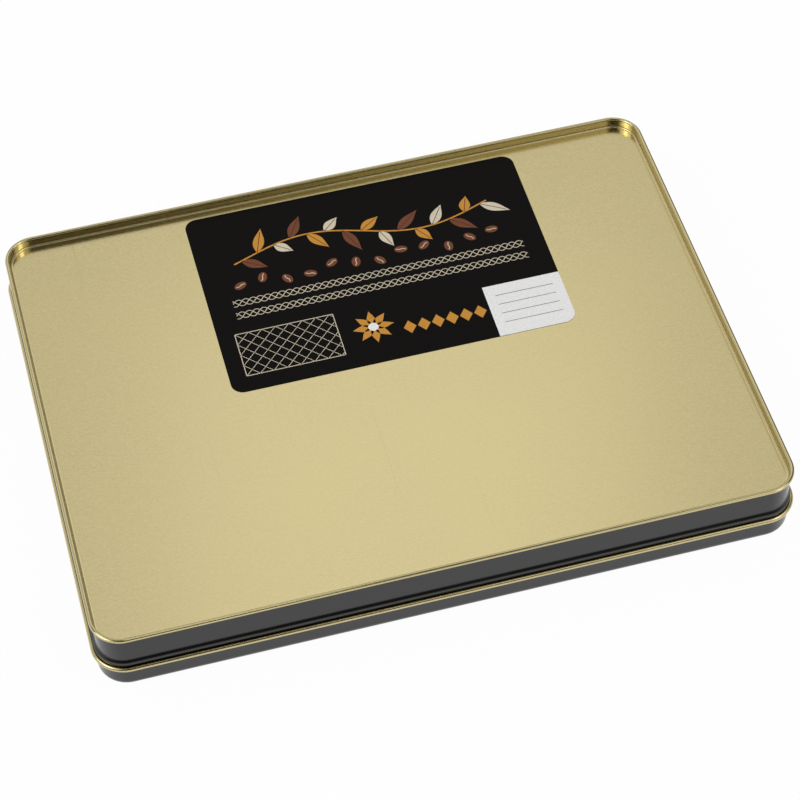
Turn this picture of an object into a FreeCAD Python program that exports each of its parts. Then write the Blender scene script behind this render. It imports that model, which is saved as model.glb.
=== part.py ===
import FreeCAD, Part
import math
import os

# A slim pressed-steel chocolate tin, lying on its lid with its base up.
# Millimetres. X runs along the long side, Y along the short side and Z upwards.
# The origin is the middle of the lid's flat face, which lies on the table.
# Offsets are measured outwards from the outside of the base rim, so most are negative.

# The tin's main sizes
RIM_LENGTH = 270.0        # base rim, outside, along X
RIM_WIDTH = 206.7         # base rim, outside, along Y
RIM_CORNER = 12.2         # outside corner radius of the base rim
TIN_HEIGHT = 30.0         # lid face to rim crest, closed
SHEET = 0.25              # tinplate

# The lid: a drawn shell with its edge curled outwards
CURL_REACH = 1.05         # curl's outside, past the rim
CURL_RADIUS = 0.95        # curl's outside radius
CURL_STOP = -115.0        # degrees round the curl where the sheet ends
LID_DEPTH = 13.7          # lid face to the curl's top
LID_ROUND = 4.0           # outside radius between face and skirt
LID_CLEARANCE = 0.3       # air between skirt and wall, all round

# The wall: one strip bent round, with a stop bead and a rolled mouth
MOUTH_LIFT = 0.2          # mouth roll's middle, above the end of the lid's round
MOUTH_RADIUS = 0.7        # mouth roll's outside radius
MOUTH_STOP = 110.0        # degrees round the roll where the sheet ends
BEAD_TUCK = 0.3           # bead's lower foot, below the curl's top
BEAD_REACH = 0.8          # bead's crest, out from the wall
BEAD_HALF = 1.8           # bead's foot, above and below its crest
WELD_WIDTH = 0.3          # welded side seam: its groove
WELD_DEPTH = 0.1
WELD_PLACE = -70.0        # along X, on the far long side

# The base: a recessed panel whose edge is folded over the wall's flange
BASE_RECESS = 4.3         # rim crest down to the panel
FOOT_ROUND = 0.8          # inside radius between panel and standing wall
CREST_ROUND = 0.45        # outside radius of the folded rim
SEAM_GAP = 0.05           # air between the layers of the folded seam

# The sticker on the base
LABEL_LENGTH = 139.2
LABEL_WIDTH = 92.0
LABEL_CORNER = 5.0
LABEL_THICK = 0.12
LABEL_LEFT = 75.6         # sticker's edge, in from the rim's left outside
LABEL_FAR = 6.65          # sticker's edge, in from the rim's far outside

# The cover card over the chocolates
CARD_THICK = 1.5
CARD_CLEARANCE = 0.5      # card's edge, in from the lid's round
REST_GAP = 0.05           # air under a piece that lies on another

# The chocolates
COLUMNS = 6
ROWS = 5
NUT_RADIUS = 5.2          # nut piece, where it sits on its chocolate
NUT_HEIGHT = 3.2
BASE_ROUND = 0.8          # chocolates' lower edge
KINDS = {
    "caramel_square": dict(length=26.0, width=26.0, height=13.4, corner=8.0, edge=3.2),
    "white_square": dict(length=26.0, width=26.0, height=13.4, corner=8.0, edge=3.2),
    "dark_speckled": dict(length=25.5, width=25.5, height=13.8, corner=5.0, edge=2.2),
    "milk_nibbed": dict(length=25.0, width=25.0, height=14.2, corner=3.5, edge=1.8),
    "milk_nut": dict(length=25.5, width=25.5, height=12.4, corner=5.0, edge=2.2),
    "dark_chipped": dict(length=26.5, width=24.0, height=13.8, corner=4.0, edge=2.0),
}

# The tray: a thermoformed sheet with one cup for each chocolate
TRAY_SHEET = 0.45
TRAY_CLEARANCE = 0.5      # tray's edge, in from the mouth roll
TRAY_PROUD = 5.2          # chocolates' tops, out of the tray's face
TRAY_DRAFT = 1.0          # skirt draws in by this much over its height
TRAY_FOOT_GAP = 0.2       # tray's foot to the base panel
CUP_SIDE_GAP = 0.95       # longest chocolate to the cup's side, at its floor
CUP_DRAFT = 0.8           # cup's side leans out by this much, floor to face
CUP_CORNER = 6.0
CUP_ROUND = 1.6           # cup's floor edge, inside
CUP_CLEARANCE = 0.3       # tallest chocolate to the cup's floor
CUP_MARGIN_X = 9.5        # tray's edge to the first cup
CUP_MARGIN_Y = 8.5

# Offsets and heights that follow
skirt_in = CURL_REACH - 2 * CURL_RADIUS
skirt_out = skirt_in + SHEET
wall_out = skirt_in - LID_CLEARANCE
wall_in = wall_out - SHEET
standing_out = wall_in - SEAM_GAP
standing_in = standing_out - SHEET
mouth_in = wall_out - 2 * MOUTH_RADIUS
tray_edge = mouth_in - TRAY_CLEARANCE
face_edge = skirt_out - LID_ROUND
card_edge = face_edge - CARD_CLEARANCE

panel_top = TIN_HEIGHT - BASE_RECESS
panel_under = panel_top - SHEET
flange_top = TIN_HEIGHT - SHEET - SEAM_GAP
flange_under = flange_top - SHEET
fold_under = flange_under - SEAM_GAP - SHEET
bead_height = LID_DEPTH - BEAD_TUCK + BEAD_HALF

card_low = SHEET + REST_GAP
seat = card_low + CARD_THICK + REST_GAP
tallest = max(kind["height"] for kind in KINDS.values())
tallest = max(tallest, KINDS["milk_nut"]["height"] + NUT_HEIGHT)
tray_face = seat + TRAY_PROUD
cup_floor = seat + tallest + CUP_CLEARANCE
longest = max(max(kind["length"], kind["width"]) for kind in KINDS.values())
cup_floor_side = longest + 2 * CUP_SIDE_GAP
cup_mouth_side = cup_floor_side + 2 * CUP_DRAFT
tray_foot = panel_under - TRAY_FOOT_GAP

straight_x = RIM_LENGTH / 2 - RIM_CORNER
straight_y = RIM_WIDTH / 2 - RIM_CORNER
UP = FreeCAD.Vector(0, 0, 1)


def on_circle(centre, radius, degrees):
    """A point of a section's arc, as offset and height."""
    angle = math.radians(degrees)
    return (centre[0] + radius * math.cos(angle), centre[1] + radius * math.sin(angle))


def section(start, steps):
    """A section line of offsets and heights, standing at the start of the far long side.

    A step is a point to run straight to, or a pair: a point to arc through and the arc's end.
    """
    def place(point):
        return FreeCAD.Vector(-straight_x, RIM_WIDTH / 2 + point[0], point[1])

    edges = []
    here = start
    for step in steps:
        if isinstance(step[0], tuple):
            through, there = step
            edges.append(Part.Arc(place(here), place(through), place(there)).toShape())
        else:
            there = step
            edges.append(Part.LineSegment(place(here), place(there)).toShape())
        here = there
    return Part.Wire(edges)


def carry_round(line):
    """The faces that a section line leaves when it is carried once round the rim's outline."""
    corners = [
        (straight_x, straight_y, 2 * straight_x),
        (straight_x, -straight_y, 2 * straight_y),
        (-straight_x, -straight_y, 2 * straight_x),
        (-straight_x, straight_y, 2 * straight_y),
    ]
    faces = []
    heading = FreeCAD.Vector(1, 0, 0)
    for x, y, run in corners:
        pivot = FreeCAD.Vector(x, y, 0)
        faces += line.extrude(heading * run).Faces
        line = line.translated(heading * run)
        faces += line.revolve(pivot, UP, -90).Faces
        line = line.rotated(pivot, UP, -90)
        heading = FreeCAD.Vector(heading.y, -heading.x, 0)
    return faces


def rounded_outline(length, width, corner, height):
    """A level rounded rectangle about the Z axis, as a wire."""
    half_x = length / 2
    half_y = width / 2
    slant = corner * (1 - math.sqrt(0.5))
    edges = []
    signs = [(1, 1), (-1, 1), (-1, -1), (1, -1)]
    for index, (sx, sy) in enumerate(signs):
        on_x = FreeCAD.Vector(sx * half_x, sy * (half_y - corner), height)
        on_y = FreeCAD.Vector(sx * (half_x - corner), sy * half_y, height)
        middle = FreeCAD.Vector(sx * (half_x - slant), sy * (half_y - slant), height)
        first, last = (on_x, on_y) if index % 2 == 0 else (on_y, on_x)
        next_sx, next_sy = signs[(index + 1) % 4]
        edges.append(Part.Arc(first, middle, last).toShape())
        if index % 2 == 0:
            ahead = FreeCAD.Vector(next_sx * (half_x - corner), next_sy * half_y, height)
        else:
            ahead = FreeCAD.Vector(next_sx * half_x, next_sy * (half_y - corner), height)
        edges.append(Part.LineSegment(last, ahead).toShape())
    return Part.Wire(edges)


def tin_outline(offset, height):
    """The rim's outline moved in or out by an offset."""
    grow = 2 * offset
    return rounded_outline(RIM_LENGTH + grow, RIM_WIDTH + grow, RIM_CORNER + offset, height)


def holed_face(outline, holes):
    """A flat face with holes in it."""
    return Part.makeFace([outline] + holes, "Part::FaceMakerBullseye")


def closed(faces):
    """One solid from faces that meet edge to edge."""
    skin = Part.makeCompound(faces)
    skin.sewShape()
    solid = Part.makeSolid(skin.Shells[0])
    if solid.Volume < 0:
        solid.reverse()
    return solid


def save(name, shape):
    """Write one piece and say whether it is sound."""
    shape.exportStep(f"parts/{name}.step")
    print(f"{name}: {len(shape.Solids)} solids, valid {shape.isValid()}")


def lid_shell():
    """The drawn lid: flat face, rounded edge, skirt and outward curl."""
    round_centre = (face_edge, LID_ROUND)
    inner_round = LID_ROUND - SHEET
    curl_centre = (skirt_in + CURL_RADIUS, LID_DEPTH - CURL_RADIUS)
    curl_inner = CURL_RADIUS - SHEET
    line = section((face_edge, 0), [
        (on_circle(round_centre, LID_ROUND, -45), (skirt_out, LID_ROUND)),
        (skirt_out, curl_centre[1]),
        (on_circle(curl_centre, curl_inner, 90), on_circle(curl_centre, curl_inner, 0)),
        (on_circle(curl_centre, curl_inner, CURL_STOP / 2), on_circle(curl_centre, curl_inner, CURL_STOP)),
        on_circle(curl_centre, CURL_RADIUS, CURL_STOP),
        (on_circle(curl_centre, CURL_RADIUS, CURL_STOP / 2), on_circle(curl_centre, CURL_RADIUS, 0)),
        (on_circle(curl_centre, CURL_RADIUS, 90), (skirt_in, curl_centre[1])),
        (skirt_in, LID_ROUND),
        (on_circle(round_centre, inner_round, -45), (face_edge, SHEET)),
    ])
    flats = [Part.Face(tin_outline(face_edge, height)) for height in (0, SHEET)]
    return closed(flats + carry_round(line))


def tin_wall():
    """The wall strip: rolled mouth, straight neck, stop bead and the flange for the base."""
    roll_centre = (wall_out - MOUTH_RADIUS, LID_ROUND + MOUTH_LIFT)
    roll_inner = MOUTH_RADIUS - SHEET
    half_stop = (180 + MOUTH_STOP) / 2
    bead_radius = (BEAD_HALF ** 2 + BEAD_REACH ** 2) / (2 * BEAD_REACH)
    bead_inner = bead_radius - SHEET
    bead_centre = wall_out + BEAD_REACH - bead_radius
    inner_half = math.sqrt(bead_inner ** 2 - (wall_in - bead_centre) ** 2)
    flange_out = -SHEET - SEAM_GAP
    line = section((wall_out, roll_centre[1]), [
        (wall_out, bead_height - BEAD_HALF),
        ((wall_out + BEAD_REACH, bead_height), (wall_out, bead_height + BEAD_HALF)),
        (wall_out, flange_under),
        (flange_out, flange_under),
        (flange_out, flange_top),
        (wall_in, flange_top),
        (wall_in, bead_height + inner_half),
        ((bead_centre + bead_inner, bead_height), (wall_in, bead_height - inner_half)),
        (wall_in, roll_centre[1]),
        (on_circle(roll_centre, roll_inner, -90), on_circle(roll_centre, roll_inner, 180)),
        (on_circle(roll_centre, roll_inner, half_stop), on_circle(roll_centre, roll_inner, MOUTH_STOP)),
        on_circle(roll_centre, MOUTH_RADIUS, MOUTH_STOP),
        (on_circle(roll_centre, MOUTH_RADIUS, half_stop), on_circle(roll_centre, MOUTH_RADIUS, 180)),
        (on_circle(roll_centre, MOUTH_RADIUS, -90), (wall_out, roll_centre[1])),
    ])
    wall = closed(carry_round(line))
    weld_low = bead_height + BEAD_HALF
    weld_y = RIM_WIDTH / 2 + wall_out - WELD_DEPTH
    weld_corner = FreeCAD.Vector(WELD_PLACE - WELD_WIDTH / 2, weld_y, weld_low)
    weld = Part.makeBox(WELD_WIDTH, 2 * WELD_DEPTH, fold_under - weld_low, weld_corner)
    return wall.cut(weld).Solids[0]


def base_panel():
    """The recessed base: panel, standing wall, and the rim folded over the wall's flange."""
    panel_edge = standing_in - FOOT_ROUND
    foot_centre = (panel_edge, panel_top + FOOT_ROUND)
    under_round = FOOT_ROUND + SHEET
    crest = TIN_HEIGHT - CREST_ROUND
    inner_crest = (standing_in + CREST_ROUND, crest)
    outer_crest = (-CREST_ROUND, crest)
    fold_round = SHEET
    fold_centre = (-fold_round, fold_under + fold_round)
    fold_end = wall_out + SEAM_GAP
    line = section((panel_edge, panel_top), [
        (on_circle(foot_centre, FOOT_ROUND, -45), (standing_in, foot_centre[1])),
        (standing_in, crest),
        (on_circle(inner_crest, CREST_ROUND, 135), (inner_crest[0], TIN_HEIGHT)),
        (outer_crest[0], TIN_HEIGHT),
        (on_circle(outer_crest, CREST_ROUND, 45), (0, crest)),
        (0, fold_centre[1]),
        (on_circle(fold_centre, fold_round, -45), (-fold_round, fold_under)),
        (fold_end, fold_under),
        (fold_end, fold_under + SHEET),
        (-SHEET, fold_under + SHEET),
        (-SHEET, TIN_HEIGHT - SHEET),
        (standing_out, TIN_HEIGHT - SHEET),
        (standing_out, foot_centre[1]),
        (on_circle(foot_centre, under_round, -45), (panel_edge, panel_under)),
    ])
    flats = [Part.Face(tin_outline(panel_edge, height)) for height in (panel_under, panel_top)]
    return closed(flats + carry_round(line))


def base_label():
    """The sticker, flat on the base panel."""
    outline = rounded_outline(LABEL_LENGTH, LABEL_WIDTH, LABEL_CORNER, panel_top)
    label = Part.Face(outline).extrude(UP * LABEL_THICK)
    middle_x = -RIM_LENGTH / 2 + LABEL_LEFT + LABEL_LENGTH / 2
    middle_y = RIM_WIDTH / 2 - LABEL_FAR - LABEL_WIDTH / 2
    return label.translated(FreeCAD.Vector(middle_x, middle_y, 0))


def cover_card():
    """The card that lies between the chocolates and the lid."""
    return Part.Face(tin_outline(card_edge, card_low)).extrude(UP * CARD_THICK)


def grid():
    """Column, row and middle of each cup, from the near left."""
    first_x = -RIM_LENGTH / 2 - tray_edge + CUP_MARGIN_X + cup_mouth_side / 2
    first_y = -RIM_WIDTH / 2 - tray_edge + CUP_MARGIN_Y + cup_mouth_side / 2
    for row in range(ROWS):
        for column in range(COLUMNS):
            x = first_x * (1 - 2 * column / (COLUMNS - 1))
            y = first_y * (1 - 2 * row / (ROWS - 1))
            yield column, row, FreeCAD.Vector(x, y, 0)


def chocolate(length, width, height, corner, edge, low):
    """One enrobed chocolate with its top down: rounded corners, soft top edge, nearly sharp base."""
    block = Part.Face(rounded_outline(length, width, corner, low)).extrude(UP * height)
    top_edges = [e for e in block.Edges if e.BoundBox.ZMax < low + REST_GAP]
    block = block.makeFillet(edge, top_edges)
    base_edges = [e for e in block.Edges if e.BoundBox.ZMin > low + height - REST_GAP]
    return block.makeFillet(BASE_ROUND, base_edges)


def nut_piece():
    """A piece of nut with its crown down, flat where it sits on its chocolate."""
    crown = FreeCAD.Vector(0, 0, seat)
    flat = seat + NUT_HEIGHT
    side = FreeCAD.Vector(NUT_RADIUS, 0, flat)
    ball = (NUT_RADIUS ** 2 + NUT_HEIGHT ** 2) / (2 * NUT_HEIGHT)
    half_angle = math.atan(NUT_HEIGHT / NUT_RADIUS)
    shoulder = FreeCAD.Vector(ball * math.sin(half_angle), 0, seat + ball * (1 - math.cos(half_angle)))
    edges = [
        Part.Arc(crown, shoulder, side).toShape(),
        Part.LineSegment(side, FreeCAD.Vector(0, 0, flat)).toShape(),
        Part.LineSegment(FreeCAD.Vector(0, 0, flat), crown).toShape(),
    ]
    return Part.Face(Part.Wire(edges)).revolve(FreeCAD.Vector(0, 0, 0), UP, 360)


def cup(grow, mouth_height, floor, floor_round):
    """The side and floor of one cup, grown sideways by a wall, and its mouth's outline."""
    mouth_side = cup_mouth_side + grow
    floor_side = cup_floor_side + grow
    mouth = rounded_outline(mouth_side, mouth_side, CUP_CORNER, mouth_height)
    bottom = rounded_outline(floor_side, floor_side, CUP_CORNER, floor)
    space = Part.makeLoft([mouth, bottom], True, True)
    floor_edges = [e for e in space.Edges if e.BoundBox.ZMin > floor - REST_GAP]
    space = space.makeFillet(floor_round, floor_edges)
    faces = [f for f in space.Faces if f.BoundBox.ZMax > mouth_height + REST_GAP]
    return Part.makeCompound(faces), mouth


def insert_tray():
    """The thermoformed tray: face, skirt down to the base, and a cup for each chocolate."""
    back = tray_face + TRAY_SHEET
    inner_skirt = tray_edge - TRAY_SHEET
    outer_top = tin_outline(tray_edge, tray_face)
    outer_foot = tin_outline(tray_edge - TRAY_DRAFT, tray_foot)
    inner_top = tin_outline(inner_skirt, back)
    inner_foot = tin_outline(inner_skirt - TRAY_DRAFT, tray_foot)
    inner_cup, inner_mouth = cup(0, tray_face, cup_floor, CUP_ROUND)
    outer_cup, outer_mouth = cup(2 * TRAY_SHEET, back, cup_floor + TRAY_SHEET, CUP_ROUND + TRAY_SHEET)
    places = [place for column, row, place in grid()]
    faces = [
        holed_face(outer_top, [inner_mouth.translated(place) for place in places]),
        holed_face(inner_top, [outer_mouth.translated(place) for place in places]),
        holed_face(outer_foot, [inner_foot]),
    ]
    faces += Part.makeLoft([outer_top, outer_foot], False, True).Faces
    faces += Part.makeLoft([inner_top, inner_foot], False, True).Faces
    for place in places:
        faces += inner_cup.translated(place).Faces
        faces += outer_cup.translated(place).Faces
    return closed(faces)


os.makedirs("parts", exist_ok=True)
save("lid_shell", lid_shell())
save("tin_wall", tin_wall())
save("base_panel", base_panel())
save("base_label", base_label())
save("cover_card", cover_card())
save("insert_tray", insert_tray())

names = list(KINDS)
nuts = []
for column, row, place in grid():
    name = names[(column + 2 * row) % len(names)]
    low = seat
    if name == "milk_nut":
        low = seat + NUT_HEIGHT
        nuts.append(nut_piece().translated(place))
    save(f"{name}_{row + 1}", chocolate(low=low, **KINDS[name]).translated(place))
save("nut_pieces", Part.makeCompound(nuts))
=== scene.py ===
import math

import bmesh
import bpy
from mathutils import Matrix, Vector, noise


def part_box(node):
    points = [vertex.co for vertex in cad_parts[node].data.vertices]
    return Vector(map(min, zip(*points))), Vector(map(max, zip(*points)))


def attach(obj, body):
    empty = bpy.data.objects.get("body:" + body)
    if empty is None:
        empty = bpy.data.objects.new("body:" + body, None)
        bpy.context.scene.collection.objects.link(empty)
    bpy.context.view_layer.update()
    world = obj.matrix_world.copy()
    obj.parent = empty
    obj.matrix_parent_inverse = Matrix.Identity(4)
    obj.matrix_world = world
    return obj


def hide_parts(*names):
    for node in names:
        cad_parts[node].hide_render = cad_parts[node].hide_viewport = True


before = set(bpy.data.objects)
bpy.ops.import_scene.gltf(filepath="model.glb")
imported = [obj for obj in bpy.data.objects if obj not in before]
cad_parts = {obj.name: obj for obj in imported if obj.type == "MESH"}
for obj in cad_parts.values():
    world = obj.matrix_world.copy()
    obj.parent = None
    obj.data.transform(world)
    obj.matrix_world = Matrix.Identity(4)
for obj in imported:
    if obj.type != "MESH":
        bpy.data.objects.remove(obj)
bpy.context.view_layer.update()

# The wall
# One tinplate strip bent round and welded at its ends, black outside and gold inside.
# Its mouth is rolled inwards, a pressed bead stops the lid, and a flange holds the base.
MM = 0.001
sheet = 0.25 * MM
wall_low, wall_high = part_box("tin_wall")
rim_low, rim_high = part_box("base_panel")
rim_corner = 12.2 * MM
corner_steps = 24
flat_strip = 0.3 * MM
wall_out = -1.15 * MM
wall_in = wall_out - sheet
mouth_radius = 0.7 * MM
mouth_stop = 110
mouth_centre = (wall_out - mouth_radius, wall_low.z + mouth_radius)
bead_reach = 0.9 * MM
bead_heights = (13.0 * MM, 13.8 * MM, 15.4 * MM, 16.7 * MM)
bead_straight = 0.72
bead_steps = 28
seam_gap = 0.05 * MM
flange_round = 0.5 * MM
flange_centre = (wall_in + flange_round, wall_high.z - flange_round)
flange_tip = -0.78 * MM
weld_place = -70 * MM
weld_half = 0.15 * MM
weld_rise = 0.1 * MM
weld_steps = 8
burnish_start = rim_high.z - 1.5 * MM
burnish_full = rim_high.z - 0.9 * MM


def srgb(red, green, blue):
    """A colour as seen on a screen, from 0 to 255, as the shader's linear colour."""
    def straight(level):
        share = level / 255
        return share / 12.92 if share <= 0.04045 else ((share + 0.055) / 1.055) ** 2.4

    return (straight(red), straight(green), straight(blue), 1.0)


def add(tree, kind, options=None, inputs=None):
    """Add a node to a tree, set its options, and feed its inputs values or other nodes' outputs."""
    made = tree.nodes.new(kind)
    for option, value in (options or {}).items():
        setattr(made, option, value)
    for key, value in (inputs or {}).items():
        if isinstance(value, bpy.types.NodeSocket):
            tree.links.new(value, made.inputs[key])
        else:
            made.inputs[key].default_value = value
    return made


def maths(tree, operation, first, second):
    """One sum on two values."""
    return add(tree, "ShaderNodeMath", {"operation": operation}, {0: first, 1: second}).outputs[0]


def finish_of(name, **fixed):
    """A new shader finish: its material, tree, main shader, and the piece's own coordinates."""
    material = bpy.data.materials.new(name)
    material.use_nodes = True
    tree = material.node_tree
    shader = tree.nodes["Principled BSDF"]
    for socket, value in fixed.items():
        shader.inputs[socket.replace("_", " ")].default_value = value
    place = add(tree, "ShaderNodeTexCoord").outputs["Object"]
    return material, tree, shader, place


def grain(tree, place, scale, detail=3.0, turn=0.0):
    """Noise at a scale in lumps per metre along X, Y and Z, turned about Z."""
    mapped = add(tree, "ShaderNodeMapping", {}, {"Vector": place, "Scale": scale, "Rotation": (0, 0, turn)})
    made = add(tree, "ShaderNodeTexNoise", {}, {
        "Vector": mapped.outputs["Vector"], "Scale": 1.0, "Detail": detail})
    return made.outputs["Fac"]


def spread(tree, value, low, high, to_low=0.0, to_high=1.0):
    """Map one stretch of a value onto another, held at both ends."""
    made = add(tree, "ShaderNodeMapRange", {}, {
        "Value": value, "From Min": low, "From Max": high, "To Min": to_low, "To Max": to_high})
    return made.outputs["Result"]


def stretched(tree, lumps, to_low=0.0, to_high=1.0):
    """Noise, which mostly lies from 0.3 to 0.7, mapped onto a whole stretch."""
    return spread(tree, lumps, 0.3, 0.7, to_low, to_high)


def between(tree, share, first, second):
    """A colour between two others."""
    made = add(tree, "ShaderNodeMix", {"data_type": "RGBA"}, {0: share, 6: first, 7: second})
    return made.outputs[2]


def surface(tree, shader, colour, roughness):
    """Feed a finish's shader its colour and its roughness."""
    tree.links.new(colour, shader.inputs["Base Color"])
    tree.links.new(roughness, shader.inputs["Roughness"])


def relief(tree, shader, height, depth, strength=1.0):
    """Fine relief of a depth in metres, as the shader's normal."""
    made = add(tree, "ShaderNodeBump", {}, {"Height": height, "Distance": depth, "Strength": strength})
    tree.links.new(made.outputs["Normal"], shader.inputs["Normal"])


def flecks(tree, place, per_metre, size):
    """Sparse small spots, as a share from 0 to 1: one in some of the cells of a random grid."""
    cells = add(tree, "ShaderNodeTexVoronoi", {}, {"Vector": place, "Scale": per_metre})
    spot = spread(tree, cells.outputs["Distance"], size * 0.6, size, 1.0, 0.0)
    colour = add(tree, "ShaderNodeSeparateColor", {}, {"Color": cells.outputs["Color"]})
    return maths(tree, "MULTIPLY", spot, spread(tree, colour.outputs["Red"], 0.90, 0.92))


def black_lacquer():
    """Black stoving lacquer on tinplate: deep gloss with a little orange peel and a few dust flecks."""
    material, tree, shader, place = finish_of("black_lacquer", IOR=1.49)
    dust = flecks(tree, place, 160, 0.045)
    peel = grain(tree, place, (900, 900, 900), 2.0)
    cloud = grain(tree, place, (45, 45, 45), 3.0)
    colour = between(tree, dust, srgb(15, 12, 11), srgb(90, 86, 80))
    surface(tree, shader, colour, spread(tree, cloud, 0.35, 0.65, 0.13, 0.19))
    relief(tree, shader, peel, 0.004 * MM, 0.5)
    return material


def gold_lacquer():
    """Gold-tinted clear lacquer over tinplate: satin, with rolling grain, and burnished on the rim."""
    material, tree, shader, place = finish_of("gold_lacquer", Metallic=1.0)
    rolling = grain(tree, place, (1100, 2900, 2900), 4.0)
    cloud = grain(tree, place, (16, 16, 16), 2.0)
    hairlines = spread(tree, grain(tree, place, (2600, 7, 7), 0.0, 0.12), 0.83, 0.85)
    specks = flecks(tree, place, 70, 0.022)
    tint = between(tree, stretched(tree, rolling), srgb(192, 178, 131), srgb(206, 193, 146))
    tint = between(tree, spread(tree, cloud, 0.35, 0.65, 0.0, 0.25), tint, srgb(205, 190, 138))
    worn = maths(tree, "MAXIMUM", hairlines, specks)
    tint = between(tree, spread(tree, worn, 0.0, 1.0, 0.0, 0.2), tint, srgb(120, 100, 66))
    height = add(tree, "ShaderNodeSeparateXYZ", {}, {"Vector": place}).outputs["Z"]
    burnish = spread(tree, height, burnish_start, burnish_full, 0.0, 0.09)
    satin = stretched(tree, rolling, 0.18, 0.24)
    surface(tree, shader, tint, maths(tree, "SUBTRACT", satin, burnish))
    relief(tree, shader, rolling, 0.003 * MM, 0.6)
    return material


def node_tree(name, sockets):
    """A Geometry Nodes tree with named inputs after its geometry: the tree, its inputs, its output."""
    tree = bpy.data.node_groups.new(name, "GeometryNodeTree")
    tree.interface.new_socket("Geometry", in_out="INPUT", socket_type="NodeSocketGeometry")
    for label, kind in sockets:
        tree.interface.new_socket(label, in_out="INPUT", socket_type="NodeSocket" + kind)
    tree.interface.new_socket("Geometry", in_out="OUTPUT", socket_type="NodeSocketGeometry")
    return tree, tree.nodes.new("NodeGroupInput").outputs, tree.nodes.new("NodeGroupOutput").inputs


def set_down(name, data):
    """A new object in the scene."""
    made = bpy.data.objects.new(name, data)
    bpy.context.scene.collection.objects.link(made)
    return made


def plain(holder):
    """The plain mesh that an object's modifiers make of it; the object itself goes."""
    ready = holder.evaluated_get(bpy.context.evaluated_depsgraph_get())
    result = bpy.data.meshes.new_from_object(ready)
    bpy.data.objects.remove(holder)
    return result


def grown(mesh, tree, sizes):
    """Run a node tree on a mesh and give back the plain mesh that it makes."""
    holder = set_down("holder", mesh)
    modifier = holder.modifiers.new(tree.name, "NODES")
    modifier.node_group = tree
    for item in tree.interface.items_tree:
        if item.in_out == "INPUT" and item.name in sizes:
            modifier[item.identifier] = sizes[item.name]
    return plain(holder)


def piece(name, mesh, body, slot, *stands_for):
    """Make a finished mesh a piece of the object: it rides a body and stands for its solids."""
    made = set_down(name, mesh)
    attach(made, body)
    if stands_for:
        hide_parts(*stands_for)
    return made


def arc(centre, radius, start, stop, steps):
    """Points along an arc of a section, its angles in degrees, as offset and height."""
    points = []
    for step in range(steps + 1):
        angle = math.radians(start + (stop - start) * step / steps)
        points.append((centre[0] + radius * math.cos(angle), centre[1] + radius * math.sin(angle)))
    return points


def set_finish(tree, geometry, finish):
    """The output of a node that gives a tree's geometry its finish."""
    made = add(tree, "GeometryNodeSetMaterial", {}, {"Geometry": geometry, "Material": finish})
    return made.outputs["Geometry"]


def rim_sweep():
    """A tree that carries a section once round the tin's rounded outline, in its two finishes."""
    tree, given, result = node_tree("carried_round_the_rim", [
        ("Rim Length", "Float"), ("Rim Width", "Float"), ("Rim Corner", "Float"), ("Corner Steps", "Int"),
        ("Outside Finish", "Material"), ("Inside Finish", "Material")])
    outline = add(tree, "GeometryNodeCurvePrimitiveQuadrilateral", {}, {
        "Width": given["Rim Length"], "Height": given["Rim Width"]})
    rounded = add(tree, "GeometryNodeFilletCurve", {"mode": "POLY"}, {
        "Curve": outline.outputs["Curve"], "Count": given["Corner Steps"], "Radius": given["Rim Corner"]})
    level = add(tree, "GeometryNodeSetCurveNormal", {"mode": "Z_UP"}, {"Curve": rounded.outputs["Curve"]})
    gold = add(tree, "GeometryNodeInputNamedAttribute", {"data_type": "BOOLEAN"}, {"Name": "gold"})
    parted = add(tree, "GeometryNodeSeparateGeometry", {"domain": "EDGE"}, {
        "Geometry": given["Geometry"], "Selection": gold.outputs["Attribute"]})
    joined = add(tree, "GeometryNodeJoinGeometry")
    for side, finish in (("Selection", "Inside Finish"), ("Inverted", "Outside Finish")):
        line = add(tree, "GeometryNodeMeshToCurve", {}, {"Mesh": parted.outputs[side]})
        strip = add(tree, "GeometryNodeCurveToMesh", {}, {
            "Curve": level.outputs["Curve"], "Profile Curve": line.outputs["Curve"]})
        painted = set_finish(tree, strip.outputs["Mesh"], given[finish])
        tree.links.new(painted, joined.inputs["Geometry"])
    tree.links.new(joined.outputs["Geometry"], result["Geometry"])
    return tree


def smoothed(form, mesh, sharp=40):
    """Write a form to a mesh with outward faces, smooth but for its sharp edges, in degrees."""
    bmesh.ops.recalc_face_normals(form, faces=form.faces)
    for face in form.faces:
        face.smooth = True
    form.to_mesh(mesh)
    form.free()
    mesh.set_sharp_from_angle(angle=math.radians(sharp))
    return mesh


def in_one_finish(mesh, finish):
    """Give the whole of a mesh one finish."""
    mesh.materials.clear()
    mesh.materials.append(finish)
    for face in mesh.polygons:
        face.material_index = 0
    return mesh


def finished(form, name, finish, sharp=40):
    """A form's new mesh, smoothed and in one finish."""
    return in_one_finish(smoothed(form, bpy.data.meshes.new(name), sharp), finish)


def lofted(form, rings, capped=True):
    """Join outlines of like counts with quads, and close both ends where it is capped."""
    made = [[form.verts.new(point) for point in ring] for ring in rings]
    for lower, upper in zip(made, made[1:]):
        for index in range(len(lower)):
            after = (index + 1) % len(lower)
            form.faces.new((lower[index], lower[after], upper[after], upper[index]))
    if capped:
        form.faces.new(made[0])
        form.faces.new(made[-1])
    return made


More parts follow.
